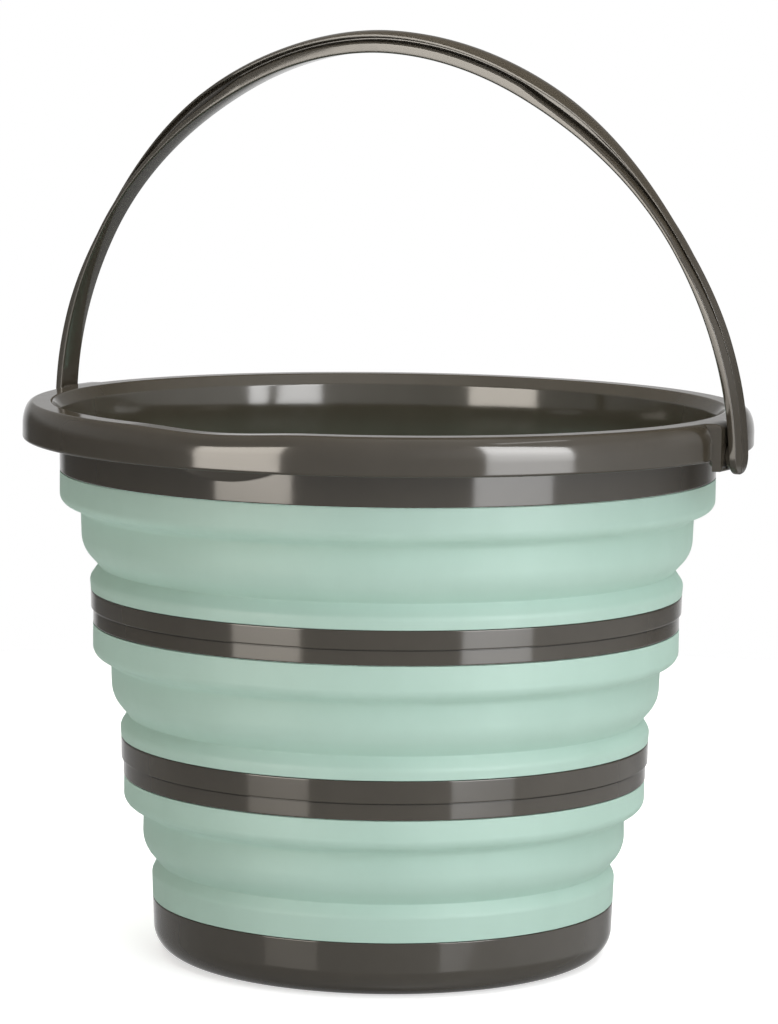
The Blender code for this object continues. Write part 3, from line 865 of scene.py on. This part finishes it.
# Floor
FLOOR_RADIUS = 0.9
FLOOR_SIDES = 96
FLOOR_COLOR = (0.8, 0.8, 0.8, 1)
FLOOR_GLOW = 0.6  # added for the camera alone, so that the floor is white with a shadow on it


def make_floor():
    plate = bmesh.new()
    bmesh.ops.create_circle(plate, cap_ends=True, segments=FLOOR_SIDES, radius=FLOOR_RADIUS)
    floor = add_object("studio_floor", new_mesh("studio_floor", plate))
    material = bpy.data.materials.new("studio_white")
    material.use_nodes = True
    tree = material.node_tree
    tree.nodes.clear()
    matt = node(tree, "ShaderNodeBsdfDiffuse", Color=FLOOR_COLOR)
    glow = node(tree, "ShaderNodeEmission", Color=(1, 1, 1, 1))
    path = tree.nodes.new("ShaderNodeLightPath")
    lift = math_node(tree, "MULTIPLY", path.outputs["Is Camera Ray"], FLOOR_GLOW)
    tree.links.new(lift, glow.inputs["Strength"])
    both = tree.nodes.new("ShaderNodeAddShader")
    tree.links.new(matt.outputs["BSDF"], both.inputs[0])
    tree.links.new(glow.outputs["Emission"], both.inputs[1])
    out = tree.nodes.new("ShaderNodeOutputMaterial")
    tree.links.new(both.outputs["Shader"], out.inputs["Surface"])
    floor.data.materials.append(material)
    floor.visible_glossy = False


def fill_ramp(ramp, stops):
    """Sets a colour ramp to greys, given as (position, value)."""
    while len(ramp.elements) > 1:
        ramp.elements.remove(ramp.elements[-1])
    ramp.elements[0].position = stops[0][0]
    ramp.elements[0].color = (stops[0][1],) * 3 + (1,)
    for position, value in stops[1:]:
        element = ramp.elements.new(position)
        element.color = (value,) * 3 + (1,)


# World: the room's brightness in gloss, as (azimuth, brightness) stops. The azimuth is in degrees to the
# right of the way from the bucket to the camera. ROOM_EYE is at eye level, with the next two lists above it
# and the last two below it.
ROOM_EYE = [
    (-180, 0.95), (-168, 0.72), (-160, 0.45), (-154, 0.1), (-132, 0.12), (-118, 0.2), (-95, 0.35),
    (-72, 0.55), (-40, 0.75), (0, 0.9), (30, 1.1), (62, 1.7), (80, 1.3), (100, 0.85), (116, 0.4),
    (124, 0.23), (131, 0.11), (148, 0.2), (156, 0.45), (168, 0.75), (180, 0.95),
]
ROOM_HIGH = [
    (-180, 0.25), (-160, 0.3), (-150, 0.35), (-110, 0.55), (-60, 0.65), (-38, 0.7), (0, 0.95), (42, 1.6),
    (62, 1.5), (90, 1.0), (108, 0.85), (120, 0.5), (130, 0.25), (146, 0.2), (180, 0.25),
]
ROOM_TOP = [
    (-180, 0.08), (-130, 0.3), (-100, 0.5), (-60, 0.6), (0, 0.95), (60, 1.2), (110, 0.5), (135, 0.1),
    (180, 0.08),
]
ROOM_LOW = [
    (-180, 0.9), (-168, 0.78), (-158, 0.5), (-145, 0.42), (-132, 0.42), (-100, 0.5), (-60, 0.75),
    (0, 0.88), (50, 1.3), (72, 1.4), (84, 1.38), (100, 1.2), (120, 0.9), (132, 0.75), (144, 0.5),
    (154, 0.45), (168, 0.75), (180, 0.9),
]
ROOM_DEEP = [
    (-180, 0.35), (-120, 0.4), (-60, 0.6), (0, 0.75), (60, 0.9), (120, 0.5), (150, 0.35), (180, 0.35),
]
# The layers over ROOM_EYE, each with the heights of direction (-1 to 1) where it starts and is complete
ROOM_LAYERS = [
    (ROOM_HIGH, 0.02, 0.14),
    (ROOM_TOP, 0.32, 0.5),
    (ROOM_LOW, -0.135, -0.185),
    (ROOM_DEEP, -0.3, -0.42),
]
RAMP_SCALE = 2  # the ramps hold the brightness divided by this
SOFT_COLOR = (1, 0.96, 0.85, 1)  # of the room's even light on matt surfaces
SOFT_STRENGTH = 0.39


def room_ramp(tree, around, stops):
    """The brightness round the room, divided by RAMP_SCALE."""
    ramp = tree.nodes.new("ShaderNodeValToRGB")
    fill_ramp(ramp.color_ramp, [((angle + 180) / 360, value / RAMP_SCALE) for angle, value in stops])
    tree.links.new(around, ramp.inputs["Fac"])
    return ramp.outputs["Color"]


def add_layer(tree, below, layer, height, start, complete):
    """The layer over what is below it, between the heights of direction where it starts and is complete."""
    share = node(tree, "ShaderNodeMapRange", From_Min=start, From_Max=complete)
    tree.links.new(height, share.inputs["Value"])
    blend = tree.nodes.new("ShaderNodeMix")
    blend.data_type = "RGBA"
    tree.links.new(share.outputs["Result"], blend.inputs["Factor"])
    tree.links.new(below, blend.inputs["A"])
    tree.links.new(layer, blend.inputs["B"])
    return blend.outputs["Result"]


def mix_shaders(tree, share, first, second):
    blend = tree.nodes.new("ShaderNodeMixShader")
    tree.links.new(share, blend.inputs["Fac"])
    tree.links.new(first, blend.inputs[1])
    tree.links.new(second, blend.inputs[2])
    return blend.outputs["Shader"]


def make_world():
    """White for the camera, even light for matt surfaces, and a room that changes all round for gloss."""
    world = bpy.data.worlds.new("studio")
    bpy.context.scene.world = world
    world.use_nodes = True
    tree = world.node_tree
    tree.nodes.clear()
    links = tree.links
    turn = node(tree, "ShaderNodeVectorRotate", Angle=-CAMERA_AZIMUTH)
    turn.rotation_type = "Z_AXIS"
    links.new(tree.nodes.new("ShaderNodeTexCoord").outputs["Generated"], turn.inputs["Vector"])
    parts = tree.nodes.new("ShaderNodeSeparateXYZ")
    links.new(turn.outputs["Vector"], parts.inputs["Vector"])
    towards_camera = math_node(tree, "MULTIPLY", parts.outputs["Y"], -1)
    azimuth = math_node(tree, "ARCTAN2", parts.outputs["X"], towards_camera)
    around = node(tree, "ShaderNodeMapRange", From_Min=-math.pi, From_Max=math.pi)
    links.new(azimuth, around.inputs["Value"])
    around = around.outputs["Result"]
    room = room_ramp(tree, around, ROOM_EYE)
    for stops, start, complete in ROOM_LAYERS:
        layer = room_ramp(tree, around, stops)
        room = add_layer(tree, room, layer, parts.outputs["Z"], start, complete)
    full = tree.nodes.new("ShaderNodeVectorMath")
    full.operation = "SCALE"
    full.inputs["Scale"].default_value = RAMP_SCALE
    links.new(room, full.inputs[0])
    soft = node(tree, "ShaderNodeBackground", Color=SOFT_COLOR, Strength=SOFT_STRENGTH)
    white = node(tree, "ShaderNodeBackground", Color=(1, 1, 1, 1), Strength=1.0)
    gloss = node(tree, "ShaderNodeBackground", Strength=1.0)
    links.new(full.outputs["Vector"], gloss.inputs["Color"])
    path = tree.nodes.new("ShaderNodeLightPath")
    light = mix_shaders(
        tree, path.outputs["Is Glossy Ray"], soft.outputs["Background"], gloss.outputs["Background"]
    )
    clear = math_node(tree, "MAXIMUM", path.outputs["Is Camera Ray"], path.outputs["Is Transmission Ray"])
    out = tree.nodes.new("ShaderNodeOutputWorld")
    links.new(mix_shaders(tree, clear, light, white.outputs["Background"]), out.inputs["Surface"])


# Soft boxes seen in gloss, each with its radiance from the foot up as (share of the height, radiance)
RIGHT_BOX = [
    (0, 1.0), (0.156, 1.6), (0.208, 2.8), (0.26, 3.8), (0.344, 4.6), (0.406, 6.0), (0.51, 8.0),
    (0.594, 9.0), (0.688, 11.4), (0.77, 13.8), (0.885, 12.9), (1, 12.4),
]
LEFT_BOX = [
    (0, 0.7), (0.129, 0.8), (0.198, 1.5), (0.24, 2.6), (0.3, 3.9), (0.361, 4.8), (0.404, 7.6),
    (0.438, 9.2), (0.67, 9.2), (0.752, 10.2), (1, 10.4),
]
LEFT_BOX_COLOR = (1.0, 0.93, 0.83)
KEY_COLOR = (0.94, 1.0, 1.08)
KEY_RADIANCE = 3.5
OVERHEAD_RADIANCE = 3.2


def studio_point(x, y, z):
    """A place given as the camera sees it, with x to its right and y away from it."""
    return Matrix.Rotation(CAMERA_AZIMUTH, 4, "Z") @ Vector((x, y, z))


def area_light(name, place, facing, width, height, radiance, color=(1, 1, 1), diffuse=True, gloss=True):
    """A soft box that faces the direction given. A radiance of 1 is the brightness of a white background.

    A list of (share of the height, radiance) from the foot up makes its brightness change with height.
    """
    data = bpy.data.lights.new(name, "AREA")
    data.shape = "RECTANGLE"
    data.size = width
    data.size_y = height
    data.color = color
    peak = radiance
    if isinstance(radiance, list):
        peak = max(value for _, value in radiance)
        data.use_nodes = True
        tree = data.node_tree
        geometry = tree.nodes.new("ShaderNodeNewGeometry")
        on_box = tree.nodes.new("ShaderNodeSeparateXYZ")
        tree.links.new(geometry.outputs["Parametric"], on_box.inputs["Vector"])
        ramp = tree.nodes.new("ShaderNodeValToRGB")
        fill_ramp(ramp.color_ramp, [(share, value / peak) for share, value in radiance])
        tree.links.new(on_box.outputs["Y"], ramp.inputs["Fac"])
        tree.links.new(ramp.outputs["Color"], tree.nodes["Emission"].inputs["Color"])
    data.energy = peak * width * height * math.pi
    light = bpy.data.objects.new(name, data)
    bpy.context.scene.collection.objects.link(light)
    light.rotation_mode = "QUATERNION"
    light.rotation_quaternion = studio_point(*facing).to_track_quat("-Z", "Y")
    light.location = studio_point(*place)
    light.visible_camera = False
    light.visible_diffuse = diffuse
    light.visible_glossy = gloss


def make_lights():
    """Two boxes and the overhead box's front for gloss, a key and the overhead box for matt surfaces."""
    area_light(
        "right_box", place=(0.712, -0.735, 0.23), facing=(0, 1, 0), width=0.677, height=0.96,
        radiance=RIGHT_BOX, diffuse=False,
    )
    area_light(
        "left_box", place=(-0.94, -0.919, 0.182), facing=(0.473, 0.881, 0), width=0.664, height=1.164,
        radiance=LEFT_BOX, color=LEFT_BOX_COLOR, diffuse=False,
    )
    area_light(
        "key", place=(0.75, -1.5, 1.1), facing=(-0.75, 1.5, -0.9), width=1.0, height=1.0,
        radiance=KEY_RADIANCE, color=KEY_COLOR, gloss=False,
    )
    area_light(
        "overhead", place=(0.12, -0.01, 0.95), facing=(0, 0, -1), width=1.24, height=0.92,
        radiance=OVERHEAD_RADIANCE, gloss=False,
    )
    area_light(
        "overhead_gloss", place=(0.12, -0.26, 0.95), facing=(0, 0, -1), width=1.24, height=0.42,
        radiance=OVERHEAD_RADIANCE, diffuse=False,
    )


# The pieces
plastic = glossy_plastic("dark_plastic_fine")
rubber = satin_rubber("mint_rubber_fine")

base = make_base(plastic)
lower_ring = make_ring(
    "lower_ring_fine", LOWER_RING_RADIUS, LOWER_RING_Z, LOWER_RING_TOP, LOWER_SEAM_RISE, plastic
)
upper_ring = make_ring(
    "upper_ring_fine", UPPER_RING_RADIUS, UPPER_RING_Z, UPPER_RING_TOP, UPPER_SEAM_RISE, plastic
)
collar = make_collar(plastic)
bail = make_handle(plastic)
for piece, body, replaced in (
    (base, "base", "base_pan"),
    (lower_ring, "lower_ring", "lower_ring"),
    (upper_ring, "upper_ring", "upper_ring"),
    (collar, "collar", "top_collar"),
    (bail, "handle", "bail_handle"),
):
    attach(piece, body)
    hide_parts(replaced)

# Each soft wall is baked in place. Its belly stretches between the two bodies listed for it, but they are
# not used here
for name, corners, bodies, replaced in (
    ("lower_bellows_fine", LOWER_BELLOWS, ("base", "lower_ring"), "lower_bellows"),
    ("middle_bellows_fine", MIDDLE_BELLOWS, ("lower_ring", "upper_ring"), "middle_bellows"),
    ("upper_bellows_fine", UPPER_BELLOWS, ("upper_ring", "collar"), "upper_bellows"),
):
    wall = make_bellows(name, corners, rubber)
    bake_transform(wall)
    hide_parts(replaced)

make_camera()
make_floor()
make_world()
make_lights()
bpy.context.scene.view_settings.view_transform = "Standard"
